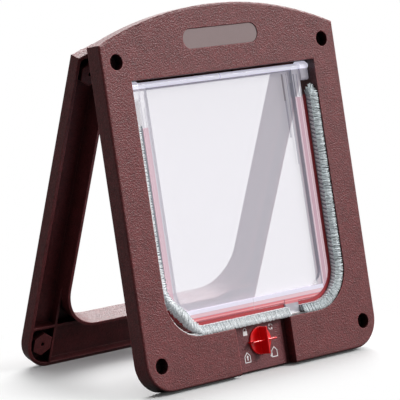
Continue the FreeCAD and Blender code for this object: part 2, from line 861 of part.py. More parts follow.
def band_outline(side, outer, inner, top):
    """Outline of a band down one side of the flap, round its foot and on to the magnet block."""
    outer_side = opening_half - outer
    inner_side = opening_half - inner
    corners = [
        Corner(side * outer_side, top),
        Corner(side * outer_side, sill_height + outer, opening_radius - outer),
        Corner(magnet_across, sill_height + outer),
        Corner(magnet_across, sill_height + inner),
        Corner(side * inner_side, sill_height + inner, opening_radius - inner),
        Corner(side * inner_side, top),
    ]
    return corners


def build_band(name, level, thick, side, outer, inner, top):
    """Builds one band of the seal and cuts it off beside the magnet block."""
    body = new_body(name)
    band = new_sketch(body, -level)
    add_outline(band, band_outline(side, outer, inner, top))
    pad(body, band, thick, downwards=True)
    block = new_sketch(body)
    reach = block_half + strip_gap
    low = sill_height
    high = sill_height + inner + past
    add_outline(block, rectangle(magnet_across - reach, magnet_across + reach, low, high))
    pocket(body, block, front_depth)


def build_strips():
    """Builds the two flat strips that lie along the flap's edge."""
    inner = flap_inset - strip_gap
    outer = inner - strip_width
    for word, side, top in (("left", -1, left_strip_top), ("right", 1, right_strip_top)):
        build_band(f"seal_strip_{word}", strip_front, strip_thick, side, outer, inner, top)


def build_brushes():
    """Builds the two brushes that close the gap between the flap and the opening."""
    inner = flap_inset - 2 * strip_gap - strip_width
    for word, side, top in (("left", -1, left_strip_top), ("right", 1, right_strip_top)):
        build_band(f"brush_{word}", brush_front, brush_thick, side, brush_gap, inner, top + brush_over)


def build_magnets():
    flap_magnet = new_body("flap_magnet")
    outline = new_sketch(flap_magnet, rim_back + magnet_gap)
    add_outline(outline, flap_magnet_outline(0))
    pad(flap_magnet, outline, magnet_thick - magnet_gap)
    frame_magnet = new_body("frame_magnet")
    magnet_back = -(front_depth - cap_thick - magnet_gap)
    room = new_sketch(frame_magnet, magnet_back)
    add_outline(room, magnet_holder_outline(-magnet_gap, sill_height - collar_wall - magnet_gap))
    pad(frame_magnet, room, magnet_thick - magnet_gap)
    magnet_cap = new_body("magnet_cap")
    plug = new_sketch(magnet_cap, -front_depth)
    add_outline(plug, magnet_holder_outline(-clip_gap, sill_height - collar_wall - clip_gap))
    pad(magnet_cap, plug, cap_thick)


def build_clips():
    """Builds the plug behind each stub axle: a tongue in the collar's slot under a square head."""
    half = axle_diameter / 2 + axle_gap - clip_gap
    tongue_front = -pivot_depth - axle_diameter / 2 - clip_gap
    for word, side in (("left", -1), ("right", 1)):
        body = new_body(f"pivot_clip_{word}")
        near = side * (opening_half + clip_gap)
        far = side * (opening_half + collar_wall)
        tongue = new_sketch(body, tongue_front)
        low = pivot_height - half
        high = pivot_height + half
        add_outline(tongue, rectangle(min_size(near, far), max_size(near, far), low, high))
        pad(body, tongue, tongue_front + collar_depth + clip_head_thick, downwards=True)
        outer = side * (opening_half + collar_wall + clip_reach)
        head = new_sketch(body, -collar_depth)
        low = pivot_height - clip_head / 2
        high = pivot_height + clip_head / 2
        left = min_size(near, outer)
        right = max_size(near, outer)
        add_outline(head, rectangle(left, right, low, high, clip_corner, clip_corner))
        pad(body, head, clip_head_thick, downwards=True)


# Trim half for the other side of the door, one moulding


def stand_at_rear(item):
    """Places the trim half so that its crown rests against the front half's back."""
    item.Placement.Rotation = FreeCAD.Rotation(FreeCAD.Vector(1, 0, 0), 90 + rear_lean.value)
    item.setExpression("Placement.Rotation.Angle", f"(90 + {rear_lean.text}) * 1 deg")
    item.setExpression("Placement.Base.y", rear_foot().text)
    item.setExpression("Placement.Base.z", (rear_depth * sine(rear_lean)).text)


def rear_foot():
    """Distance of the trim half's foot that brings its crown up to the front half's back plane."""
    crown_level = crown_height * cosine(rear_lean)
    up_front = (crown_level / cosine(front_lean)) * sine(front_lean)
    back_plane = -front_foot + up_front + front_depth / cosine(front_lean) - front_depth * sine(
        front_lean) * sine(front_lean) / cosine(front_lean)
    return back_plane + lean_gap + rear_depth * cosine(rear_lean) + crown_height * sine(rear_lean)


def build_rear_frame():
    body = new_body("rear_frame", stand_at_rear)
    shell_half(body, rear_depth, rear_skin, rear_wall, rear_collar, 1)
    bosses = new_sketch(body, rear_skin * 0.5)
    for side in left_and_right:
        for height in (screw_low, screw_high):
            add_outline(bosses, hexagon(side * screw_across, height, rear_boss))
    pad(body, bosses, rear_depth + boss_proud - rear_skin * 0.5)
    opening = new_sketch(body, -past)
    add_outline(opening, opening_outline())
    pocket(body, opening, rear_collar + 2 * past, upwards=True)
    pilots = new_sketch(body, rear_depth + boss_proud)
    corner_circles(pilots, pilot_bore)
    pocket(body, pilots, pilot_depth)


build_front_frame()
build_badge_plate()
build_lock_cover()
build_lock_knob()
build_lock_cam()
build_cam_screw()
build_flap_panel()
build_strips()
build_brushes()
build_magnets()
build_clips()
build_rear_frame()

doc.recompute()

for item in doc.Objects:
    if "Invalid" in item.State or "Error" in item.State:
        raise RuntimeError(f"{item.Name} failed to build")

os.makedirs("parts", exist_ok=True)
for body in bodies:
    shape = body.Shape
    if shape.isNull() or not shape.isValid():
        raise RuntimeError(f"{body.Label} has no valid shape")
    shape.exportStep(f"parts/{body.Label}.step")
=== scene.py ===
import json
import logging
import math
import random
from collections.abc import Sequence
from dataclasses import dataclass, field
from enum import Enum, auto

import bmesh
import bpy
from mathutils import Matrix, Vector


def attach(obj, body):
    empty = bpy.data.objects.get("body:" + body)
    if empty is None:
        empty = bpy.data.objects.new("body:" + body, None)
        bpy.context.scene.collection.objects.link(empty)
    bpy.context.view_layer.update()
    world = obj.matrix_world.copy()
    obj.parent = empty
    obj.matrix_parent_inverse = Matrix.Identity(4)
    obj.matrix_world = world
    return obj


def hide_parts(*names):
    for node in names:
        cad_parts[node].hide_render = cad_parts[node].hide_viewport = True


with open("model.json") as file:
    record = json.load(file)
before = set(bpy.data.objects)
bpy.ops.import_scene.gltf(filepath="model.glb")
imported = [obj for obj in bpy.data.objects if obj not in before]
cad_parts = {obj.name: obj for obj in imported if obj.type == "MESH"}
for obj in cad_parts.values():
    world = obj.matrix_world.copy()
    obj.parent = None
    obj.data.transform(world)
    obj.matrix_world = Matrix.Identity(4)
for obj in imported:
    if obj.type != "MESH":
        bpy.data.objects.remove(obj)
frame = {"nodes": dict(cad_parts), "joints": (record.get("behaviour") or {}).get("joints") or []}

LOG = logging.getLogger("cat_flap")
MM = 0.001
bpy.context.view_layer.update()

BMesh = bmesh.types.BMesh
Material = bpy.types.Material
Node = bpy.types.Node
Socket = bpy.types.NodeSocket
Tree = bpy.types.NodeTree
Colour = tuple[float, float, float, float]
Point2 = tuple[float, float]


class Grain(Enum):
    """Kinds of surface texture that a finish can have."""

    LEATHER = auto()
    SPARK = auto()
    PILE = auto()
    BRUSHED = auto()


@dataclass(frozen=True)
class Finish:
    """Everything that decides how a surface looks. Lengths are in millimetres."""

    name: str
    colour: str
    roughness: float
    grain: Grain
    grain_size: float
    grain_depth: float
    mottle: float
    metallic: float = 0.0
    coat: float = 0.0
    sheen: float = 0.0
    # The glow is painted light, an emission on a part that is no lamp. The edge factor paints a highlight on
    # rounded edges, and the crevice reach paints shade into corners.
    painted_glow: float = 0.0
    edge_round: float = 0.0
    edge_highlight: float = 1.0
    crevice_shade: float = 0.0


# Moulded ABS from a mould etched with leather grain: the brown breaks up into small satin lights.
# A painted highlight makes its edges paler and painted shade darkens its corners. The real cells
# are finer, about half a millimetre, and are drawn at 1.05 mm to show at this size.
BROWN = Finish("moulded_brown_abs", "703335", 0.36, Grain.LEATHER, 1.05, 0.19, 0.34,
               edge_round=0.8, edge_highlight=2.4, crevice_shade=16.0)
# The same ABS from a plain mould: darker and duller, for the small parts inside.
BROWN_INSIDE = Finish("moulded_brown_abs_plain", "5A3034", 0.42, Grain.SPARK, 0.9, 0.02, 0.08)
# Moulded ABS with the same grain as the frame, drawn as coarse, so that its lights run on.
COVER = Finish("moulded_brown_abs_cover", "70383C", 0.38, Grain.LEATHER, 1.05, 0.17, 0.30)
# Moulded grey ABS from a spark-eroded mould: even and nearly matt. The grit of such a mould is
# about 0.1 mm, drawn coarser here and on the other parts with this grain.
INLAY = Finish("moulded_grey_abs", "8E7A7A", 0.44, Grain.SPARK, 0.5, 0.02, 0.05)
# Moulded red ABS from a polished mould: glossy and deep, with a painted highlight on its edges.
# Its painted glow, an emission, stands for the light that its pigment scatters.
KNOB_RED = Finish("moulded_red_abs_gloss", "D8060E", 0.24, Grain.SPARK, 1.6, 0.006, 0.05, coat=0.5,
                  painted_glow=0.12, edge_round=0.5, edge_highlight=1.9)
# Moulded red acetal: waxy and a shade darker than the knob.
CAM_RED = Finish("moulded_red_acetal", "A80A12", 0.32, Grain.SPARK, 1.2, 0.01, 0.05)
# Extruded red PVC: smooth, with a soft light along its length.
STRIP_RED = Finish("extruded_red_pvc", "B03C42", 0.38, Grain.SPARK, 0.8, 0.01, 0.08)
# Woven polypropylene pile: matt, with a soft bright rim where the yarn turns away. The grain is as
# wide as a bundle of its hairs.
PILE = Finish("woven_polypropylene_pile", "EAF4FB", 0.85, Grain.PILE, 0.5, 0.12, 0.12, sheen=0.5)
# The same pile painted lighter, with a painted glow, for the brush whose loose yarn lets light through.
PILE_PALE = Finish("woven_polypropylene_pile_painted_light", "F1F8FD", 0.85, Grain.PILE, 0.5, 0.12, 0.12,
                   sheen=0.5, painted_glow=0.08)
# Woven polypropylene tape under the yarn: flat and grey, so that the yarn stands out on it.
PILE_ROOT = Finish("woven_polypropylene_tape", "A4ACB6", 0.90, Grain.PILE, 0.5, 0.05, 0.2)
# Sintered ferrite: dull black with a faint metal look.
MAGNET = Finish("sintered_ferrite", "2B2B2E", 0.55, Grain.SPARK, 0.5, 0.02, 0.10, metallic=0.4)
# Zinc-plated steel, turned on a lathe: bright, with fine rings.
STEEL = Finish("turned_zinc_plated_steel", "B9BCC0", 0.30, Grain.BRUSHED, 0.3, 0.008, 0.05,
               metallic=1.0)
# Pad-printed ink: white, flat and crisp.
PRINT = Finish("pad_printed_white_ink", "F4F2F2", 0.55, Grain.SPARK, 0.3, 0.004, 0.03)
# Rolled studio paper: even and matt, with broad faint clouds.
FLOOR = Finish("rolled_studio_paper", "F4F4F4", 0.75, Grain.SPARK, 40.0, 0.0, 0.004)

NODE_FINISHES = {
    "rear_frame": BROWN, "badge_plate": INLAY, "lock_cover": COVER, "lock_cam": CAM_RED,
    "cam_screw": STEEL, "seal_strip_left": STRIP_RED, "seal_strip_right": STRIP_RED,
    "flap_magnet": MAGNET, "frame_magnet": MAGNET, "magnet_cap": BROWN_INSIDE,
    "pivot_clip_left": BROWN_INSIDE, "pivot_clip_right": BROWN_INSIDE,
}


def to_linear(code: str) -> Colour:
    """Turns an sRGB hex colour into the linear colour that shaders need.

    Args:
        code: six hex digits, without a leading mark.

    Returns:
        Red, green, blue and an alpha of one.
    """
    channels = []
    for start in (0, 2, 4):
        value = int(code[start:start + 2], 16) / 255
        channels.append(value / 12.92 if value <= 0.04045 else ((value + 0.055) / 1.055) ** 2.4)
    return channels[0], channels[1], channels[2], 1.0


def scaled(colour: Colour, factor: float) -> Colour:
    """Makes a linear colour lighter or darker.

    Args:
        colour: linear colour.
        factor: one leaves it as it is.

    Returns:
        The changed colour, held below one.
    """
    red, green, blue = (min(1.0, channel * factor) for channel in colour[:3])
    return red, green, blue, 1.0


def add_node(tree: Tree, kind: str, settings: dict | None = None, links: dict | None = None) -> Node:
    """Adds one shader node with its settings and incoming links.

    Args:
        tree: the node tree.
        kind: node type, such as ShaderNodeBump.
        settings: attribute names or input names with their values.
        links: input names or numbers with the sockets that feed them.

    Returns:
        The new node.
    """
    node = tree.nodes.new(kind)
    for key, value in (settings or {}).items():
        if isinstance(key, str) and hasattr(node, key):
            setattr(node, key, value)
        else:
            node.inputs[key].default_value = value
    for key, socket in (links or {}).items():
        tree.links.new(socket, node.inputs[key])
    return node


def new_material(name: str, values: dict[str, float | Colour]) -> Material:
    """Makes a material and sets what is the same all over its surface.

    Args:
        name: its name.
        values: names of the shader's inputs with their values.

    Returns:
        The material, with one shader.
    """
    material = bpy.data.materials.new(name)
    material.use_nodes = True
    shader = material.node_tree.nodes["Principled BSDF"]
    for key, value in values.items():
        shader.inputs[key].default_value = value
    return material


def lay_over(tree: Tree, mask: Socket, values: dict[str, float | Colour]) -> None:
    """Changes what the shader gets where the mask is one.

    Args:
        tree: the material's node tree.
        mask: the socket with the mask.
        values: names of the shader's inputs with their values under the mask.
    """
    for name, value in values.items():
        target = tree.nodes["Principled BSDF"].inputs[name]
        is_number = isinstance(value, float)
        kind, below, above, result = ("FLOAT", 2, 3, 0) if is_number else ("RGBA", 6, 7, 2)
        mix = add_node(tree, "ShaderNodeMix",
                       {"data_type": kind, below: target.default_value, above: value}, {0: mask})
        if target.is_linked:
            tree.links.new(target.links[0].from_socket, mix.inputs[below])
        tree.links.new(mix.outputs[result], target)


def bridge(build: BMesh, rows: Sequence[Sequence[bmesh.types.BMVert]], closed: bool = True) -> None:
    """Joins rows of vertices with faces.

    Args:
        build: the geometry.
        rows: rows with equally many vertices.
        closed: whether each row runs round.
    """
    count = len(rows[0])
    for before, after in zip(rows, rows[1:]):
        for i in range(count if closed else count - 1):
            j = (i + 1) % count
            build.faces.new((before[i], before[j], after[j], after[i]))


def mesh_object(name: str, build: BMesh, matrix: Matrix, material: Material,
                smooth: bool = False) -> bpy.types.Object:
    """Turns a bmesh in plate millimetres into a scene object at the origin.

    Args:
        name: name of the object.
        build: geometry in plate millimetres. It is freed.
        matrix: from plate millimetres to scene metres.
        material: its material.
        smooth: whether its faces are shaded smooth.

    Returns:
        The new object.
    """
    bmesh.ops.transform(build, matrix=matrix, verts=build.verts)
    bmesh.ops.recalc_face_normals(build, faces=build.faces)
    mesh = bpy.data.meshes.new(name)
    build.to_mesh(mesh)
    build.free()
    mesh.materials.append(material)
    for face in mesh.polygons:
        face.use_smooth = smooth
    item = bpy.data.objects.new(name, mesh)
    bpy.context.collection.objects.link(item)
    return item


@dataclass
class Paint:
    """Builds the procedural materials from their finishes and keeps one of each."""

    coat_roughness: float = 0.12
    patches_per_mm: float = 0.09  # Flow marks of a moulding, about 11 mm across.
    highlight_from: float = 0.985  # Cosine between the rounded and the flat normal where the painted edge highlight starts.
    highlight_full: float = 0.85
    open_from: float = 0.15  # Share of open sky at which the painted shade in a corner starts to lift.
    open_full: float = 0.85
    # The darkest share of the colour that the painted corner shade leaves.
    corner_dark: float = 0.04
    cell_bend: float = 0.9  # How far the leather's cells are bent, in millimetres.
    fine_share: float = 0.9
    made: dict[str, Material] = field(default_factory=dict)

    def material(self, finish: Finish) -> Material:
        """Gives the material of a finish, made once.

        Args:
            finish: the finish.

        Returns:
            Its material.
        """
        if finish.name not in self.made:
            self.made[finish.name] = self.build(finish)
        return self.made[finish.name]

    def build(self, finish: Finish) -> Material:
        """Builds the node tree of one finish.

        Args:
            finish: the finish to build.

        Returns:
            The finished material.
        """
        values = {"Roughness": finish.roughness, "Metallic": finish.metallic,
                  "Coat Weight": finish.coat, "Coat Roughness": self.coat_roughness,
                  "Sheen Weight": finish.sheen}
        if finish.painted_glow > 0:
            values |= {"Emission Color": to_linear(finish.colour), "Emission Strength": finish.painted_glow}
        material = new_material(finish.name, values)
        tree = material.node_tree
        shader = tree.nodes["Principled BSDF"]
        place = add_node(tree, "ShaderNodeTexCoord")
        in_mm = add_node(tree, "ShaderNodeMapping", {"Scale": (1 / MM, 1 / MM, 1 / MM)},
                         {"Vector": place.outputs["Object"]}).outputs["Vector"]
        rounded = None
        if finish.edge_round > 0:
            rounded = add_node(tree, "ShaderNodeBevel",
                               {"samples": 4, "Radius": finish.edge_round * MM}).outputs["Normal"]
        self.add_colour(tree, shader, finish, in_mm, rounded)
        if finish.grain_depth > 0:
            bump = add_node(tree, "ShaderNodeBump", {"Distance": finish.grain_depth * MM},
                            {"Height": self.grain_height(tree, finish, in_mm)})
            if rounded is not None:
                tree.links.new(rounded, bump.inputs["Normal"])
            tree.links.new(bump.outputs["Normal"], shader.inputs["Normal"])
        return material

    def add_colour(self, tree: Tree, shader: Node, finish: Finish, in_mm: Socket,
                   rounded: Socket | None) -> None:
        """Feeds the shader a base colour that varies softly over the surface, darkened by painted
        shade in corners and lightened by a painted highlight on rounded edges.

        Args:
            tree: the node tree.
            shader: the surface shader.
            finish: its finish.
            in_mm: places in millimetres.
            rounded: the normal with rounded edges, if the finish has one.
        """
        base = to_linear(finish.colour)
        noise = add_node(tree, "ShaderNodeTexNoise",
                         {"Scale": self.patches_per_mm, "Detail": 5.0, "Roughness": 0.65},
                         {"Vector": in_mm})
        fine = add_node(tree, "ShaderNodeTexNoise",
                        {"Scale": 0.8 / finish.grain_size, "Detail": 3.0, "Roughness": 0.6},
                        {"Vector": in_mm})
        both = add_node(tree, "ShaderNodeMath", {"operation": "MULTIPLY_ADD", 1: 0.5},
                        {0: noise.outputs["Fac"], 2: fine.outputs["Fac"]})
        ramp = add_node(tree, "ShaderNodeValToRGB", links={"Fac": both.outputs["Value"]})
        low, high = ramp.color_ramp.elements
        low.position, low.color = 0.55, scaled(base, 1 - finish.mottle)
        high.position, high.color = 0.95, scaled(base, 1 + finish.mottle)
        factors = []
        # Painted shade: ambient occlusion darkens corners, creases and recesses.
        if finish.crevice_shade > 0:
            hollow = add_node(tree, "ShaderNodeAmbientOcclusion",
                              {"samples": 8, "Distance": finish.crevice_shade * MM})
            factors.append(add_node(tree, "ShaderNodeMapRange", {
                "From Min": self.open_from, "From Max": self.open_full,
                "To Min": self.corner_dark}, {"Value": hollow.outputs["AO"]}))
        # Painted highlight: the colour is lightened on edges, where the rounded normal turns from the flat
        # one.
        if rounded is not None and finish.edge_highlight > 1:
            flat = add_node(tree, "ShaderNodeNewGeometry")
            turn = add_node(tree, "ShaderNodeVectorMath", {"operation": "DOT_PRODUCT"},
                            {0: rounded, 1: flat.outputs["Normal"]})
            factors.append(add_node(tree, "ShaderNodeMapRange", {
                "From Min": self.highlight_from, "From Max": self.highlight_full, "To Min": 1.0,
                "To Max": finish.edge_highlight}, {"Value": turn.outputs["Value"]}))
        colour = ramp.outputs["Color"]
        for factor in factors:
            colour = add_node(tree, "ShaderNodeVectorMath", {"operation": "SCALE"},
                              {0: colour, "Scale": factor.outputs["Result"]}).outputs["Vector"]
        tree.links.new(colour, shader.inputs["Base Color"])

    def grain_height(self, tree: Tree, finish: Finish, in_mm: Socket) -> Socket:
        """Builds the height pattern of a finish's grain.

        Args:
            tree: the node tree.
            finish: the finish.
            in_mm: places in millimetres.

        Returns:
            The socket with the height.
        """
        size, where = finish.grain_size, {"Vector": in_mm}
        if finish.grain is Grain.LEATHER:
            warp = add_node(tree, "ShaderNodeTexNoise", {"Scale": 0.6 / size}, where)
            bent = add_node(tree, "ShaderNodeVectorMath",
                            {"operation": "MULTIPLY_ADD", 1: (self.cell_bend,) * 3},
                            {0: warp.outputs["Color"], 2: in_mm})
            cells = add_node(tree, "ShaderNodeTexVoronoi", {"feature": "F1", "Scale": 1 / size},
                             {"Vector": bent.outputs["Vector"]})
            fine = add_node(tree, "ShaderNodeTexNoise", {"Scale": 1.4 / size, "Detail": 5.0}, where)
            height = add_node(tree, "ShaderNodeMath",
                              {"operation": "MULTIPLY_ADD", 1: self.fine_share},
                              {0: fine.outputs["Fac"], 2: cells.outputs["Distance"]})
            return height.outputs["Value"]
        if finish.grain is Grain.BRUSHED:
            wave = add_node(tree, "ShaderNodeTexWave",
                            {"wave_type": "RINGS", "Scale": 1 / size, "Distortion": 1.5}, where)
            return wave.outputs["Fac"]
        detail = 6.0 if finish.grain is Grain.PILE else 3.0
        noise = add_node(tree, "ShaderNodeTexNoise",
                         {"Scale": 1 / size, "Detail": detail, "Roughness": 0.6}, where)
        return noise.outputs["Fac"]


@dataclass(frozen=True)
class Plate:
    """The leaning frame of the front half: X across, V up the plate and W out of its face."""

    lock_height: float = 21.0
    lock_depth: float = -8.0

    def joint(self) -> dict:
        """Gives the record of the lock's joint, whose axis stands square on the plate."""
        return next(item for item in frame["joints"] if item["name"] == "lock_turn")

    def axes(self) -> tuple[Vector, Vector, Vector]:
        """Reads the plate's directions from the lock's joint.

        Returns:
            Across, up the plate and outwards.
        """
        outward = Vector(self.joint()["axis"]).normalized()
        across = Vector((1.0, 0.0, 0.0))
        return across, outward.cross(across).normalized(), outward

    def matrix(self) -> Matrix:
        """Gives the matrix from plate millimetres to scene metres.

        Returns:
            A four by four matrix.
        """
        across, upward, outward = self.axes()
        lock = Vector(self.joint()["pos_m"])
        turned = Matrix((across, upward, outward)).transposed().to_4x4() @ Matrix.Scale(MM, 4)
        turned.translation = (lock - upward * (self.lock_height * MM)
                              - outward * (self.lock_depth * MM))
        return turned

    def lean(self) -> float:
        """Gives how far the plate leans back, in radians."""
        return math.asin(self.axes()[1].y)

    def places(self, tree: Tree) -> Node:
        """Adds nodes that give each point's place on the plate in millimetres.

        Args:
            tree: the node tree.

        Returns:
            A node with across as X, depth behind the face as Y and height up the plate as Z.
        """
        place = add_node(tree, "ShaderNodeTexCoord")
        moved = add_node(tree, "ShaderNodeVectorMath",
                         {"operation": "SUBTRACT", 1: tuple(self.matrix().translation)},
                         {0: place.outputs["Object"]})
        turned = add_node(tree, "ShaderNodeVectorRotate",
                          {"rotation_type": "X_AXIS", "Angle": self.lean()},
                          {"Vector": moved.outputs["Vector"]})
        in_mm = add_node(tree, "ShaderNodeVectorMath", {"operation": "SCALE", "Scale": 1 / MM},
                         {0: turned.outputs["Vector"]})
        return add_node(tree, "ShaderNodeSeparateXYZ", links={"Vector": in_mm.outputs["Vector"]})


@dataclass(frozen=True)
class Zone:
    """A stretch of painted light or shade. Its side is 1 or -1 for one side of the plate, 0 for both."""

    across: tuple[float, float]
    height: tuple[float, float]
    colour: str
    veil: float = 1.0
    side: int = 0
    # Painted glow: an emission on a part that is no lamp.
    painted_glow: float | None = None
    soft: float = 0.3

    def mask(self, tree: Tree, across: Socket, height: Socket) -> Socket:
        """Marks the zone with soft edges.

        Args:
            tree: the node tree.
            across: distance from the middle, in millimetres.
            height: height up the plate, in millimetres.

        Returns:
            The socket with one inside the zone and zero outside.
        """
        mask = None
        for value, (low, high) in ((across, self.across), (height, self.height)):
            for edge, inside in ((low, low + self.soft), (high, high - self.soft)):
                step = add_node(tree, "ShaderNodeMapRange", {
                    "interpolation_type": "SMOOTHSTEP", "From Min": edge,
                    "From Max": inside}, {"Value": value}).outputs["Result"]
                mask = step if mask is None else add_node(
                    tree, "ShaderNodeMath", {"operation": "MULTIPLY"},
                    {0: mask, 1: step}).outputs["Value"]
        return mask


@dataclass(frozen=True)
class FlapDress:
    """Moulded clear polycarbonate: glossy and faintly lavender, with a painted glow, and painted refraction,
    highlight and shade lines in its thick rim.
    """

    plate: Plate
    roughness: float = 0.12
    coat: float = 0.6
    coat_roughness: float = 0.04
    veil: float = 0.37
    clear_colour: str = "EDE9F2"
    # Painted glow: an emission over the whole flap, which is no lamp.
    painted_glow: float = 0.12
    glow_colour: str = "F0F0FF"
    side_shadow: str = "6C6E7E"
    side_veil: float = 0.85
    side_turn: tuple[float, float] = (0.55, 0.8)
    side_reach: tuple[float, float] = (73.0, 71.5)
    zones: tuple[Zone, ...] = (
        # Painted refraction of the red strips seen through the rim, left and right, with painted highlights
        # as pale lines and painted shade as dark lines.
        Zone((73.4, 90.0), (46.0, 182.0), "D2A4B2", 0.80, -1),
        Zone((77.2, 90.0), (51.0, 182.0), "E6BEC8", 0.85, -1),
        Zone((70.6, 90.0), (46.0, 189.0), "CC9AAA", 0.80, 1),
        Zone((76.6, 90.0), (51.0, 189.0), "E6BCC4", 0.85, 1),
        Zone((72.6, 73.6), (51.0, 205.0), "A8A2B0", 0.80, -1),
        Zone((71.2, 72.0), (51.0, 189.0), "F0E4EA", 0.85, 1),
        # Painted shade: what the right ear shows of the dark pocket behind it.
        Zone((71.0, 72.6), (189.2, 206.0), "3C3A50", 0.90, 1),
        Zone((74.4, 75.6), (189.2, 206.0), "6A6478", 0.80, 1),
        Zone((62.0, 64.0), (160.0, 188.0), "8A8696", 0.60, 1),
        Zone((61.6, 63.8), (187.0, 207.0), "4A3840", 0.85, 1),
        Zone((66.4, 67.4), (140.0, 207.0), "7C7A8C", 0.60, 1),
        # Painted shade and a painted highlight along the rim's inner edge.
        Zone((69.6, 70.7), (51.2, 196.0), "8C8C9A", 0.75, -1),
        Zone((69.4, 70.8), (51.2, 200.0), "6C6C82", 0.80, 1),
        Zone((75.4, 76.2), (51.2, 189.0), "F8E4E8", 0.85, 1),
        # Painted refraction of the strips' lower runs in the lower rim, with a painted highlight line.
        Zone((0.0, 71.0), (48.4, 51.6), "ECE8F8", 0.90),
        Zone((0.0, 76.0), (45.9, 48.6), "E6BCC4", 0.85),
        Zone((0.0, 74.0), (42.0, 45.9), "DA5A60", 0.90),
        Zone((0.0, 74.0), (43.9, 44.6), "F2A8A4", 0.90),
        # The rod at the top, brightened by a painted glow, and the painted shade line under it.
        Zone((0.0, 71.0), (208.2, 208.9), "77778A", 0.85),
        Zone((0.0, 90.0), (209.0, 230.0), "F4F2FF", 0.85, painted_glow=0.42),
    )

    def material(self) -> Material:
        """Builds the flap's material.

        Returns:
            A clear material with a denser rim, coloured with painted refraction, highlight and shade.
        """
        material = new_material("moulded_clear_polycarbonate", {
            "Base Color": to_linear(self.clear_colour), "Alpha": self.veil,
            "Roughness": self.roughness, "Coat Weight": self.coat,
            "Coat Roughness": self.coat_roughness,
            "Emission Color": to_linear(self.glow_colour), "Emission Strength": self.painted_glow})
        tree = material.node_tree
        parts = self.plate.places(tree)
        ways = {1: parts.outputs["X"]}
        for side, settings in ((0, {"operation": "ABSOLUTE"}), (-1, {"operation": "MULTIPLY", 1: -1.0})):
            ways[side] = add_node(tree, "ShaderNodeMath", settings, {0: ways[1]}).outputs["Value"]
        # Painted shade: the rim's sideways faces are drawn darker and denser.
        place = add_node(tree, "ShaderNodeTexCoord")
        facing = add_node(tree, "ShaderNodeSeparateXYZ", links={"Vector": place.outputs["Normal"]})
        sideways = add_node(tree, "ShaderNodeMath", {"operation": "ABSOLUTE"},
                            {0: facing.outputs["X"]})
        steps = [add_node(tree, "ShaderNodeMapRange", {
            "interpolation_type": "SMOOTHSTEP", "From Min": start, "From Max": end},
            {"Value": value}).outputs["Result"] for value, (start, end) in (
                (sideways.outputs["Value"], self.side_turn), (ways[0], self.side_reach))]
        wall = add_node(tree, "ShaderNodeMath", {"operation": "MULTIPLY"}, dict(enumerate(steps)))
        lay_over(tree, wall.outputs["Value"],
                 {"Base Color": to_linear(self.side_shadow), "Alpha": self.side_veil})
        for zone in self.zones:
            values = {"Base Color": to_linear(zone.colour), "Alpha": zone.veil}
            if zone.painted_glow is not None:
                values["Emission Strength"] = zone.painted_glow
            lay_over(tree, zone.mask(tree, ways[zone.side], parts.outputs["Z"]), values)
        return material


@dataclass(frozen=True)
class FrameDress:
    """Gives the front half its grained brown, with painted shade, nearly black, in the pocket beside the
    flap's right ear.
    """

    plate: Plate
    painted_pocket_shade: Zone = Zone((79.0, 88.4), (191.0, 214.8), "140A0B", soft=0.6)
    pocket_depth: tuple[float, float] = (1.2, 2.0)

    def material(self, paint: Paint) -> Material:
        """Builds the front half's material.

        Args:
            paint: builder of the brown.

        Returns:
            The brown with painted shade in the pocket.
        """
        material = paint.build(BROWN)
        material.name = "moulded_brown_abs_front"
        tree = material.node_tree
        parts = self.plate.places(tree)
        mask = self.painted_pocket_shade.mask(tree, parts.outputs["X"], parts.outputs["Z"])
        start, end = self.pocket_depth
        deep = add_node(tree, "ShaderNodeMapRange", {
            "interpolation_type": "SMOOTHSTEP", "From Min": start, "From Max": end},
            {"Value": parts.outputs["Y"]})
        both = add_node(tree, "ShaderNodeMath", {"operation": "MULTIPLY"},
                        {0: mask, 1: deep.outputs["Result"]})
        # Painted shade: the pocket is drawn nearly black.
        lay_over(tree, both.outputs["Value"], {"Base Color": to_linear(self.painted_pocket_shade.colour)})
        return material


@dataclass(frozen=True)
class BandSize:
    """Where a brush runs, in plate millimetres."""

    opening_half: float = 88.2
    sill_height: float = 33.5
    opening_radius: float = 31.0
    root_inset: float = 6.2
    tip_inset: float = 0.35
    front: float = -2.4
    back: float = -7.8
    left_top: float = 183.5
    right_top: float = 191.5
    left_end: float = 29.6
    right_end: float = 43.4


@dataclass(frozen=True)
class Spot:
    """One place on the wall of the opening, with the direction to the flap and the way run so far."""

    wall: Vector
    inward: Vector
    run: float
    slack: float
    sunk: float
    droop: float


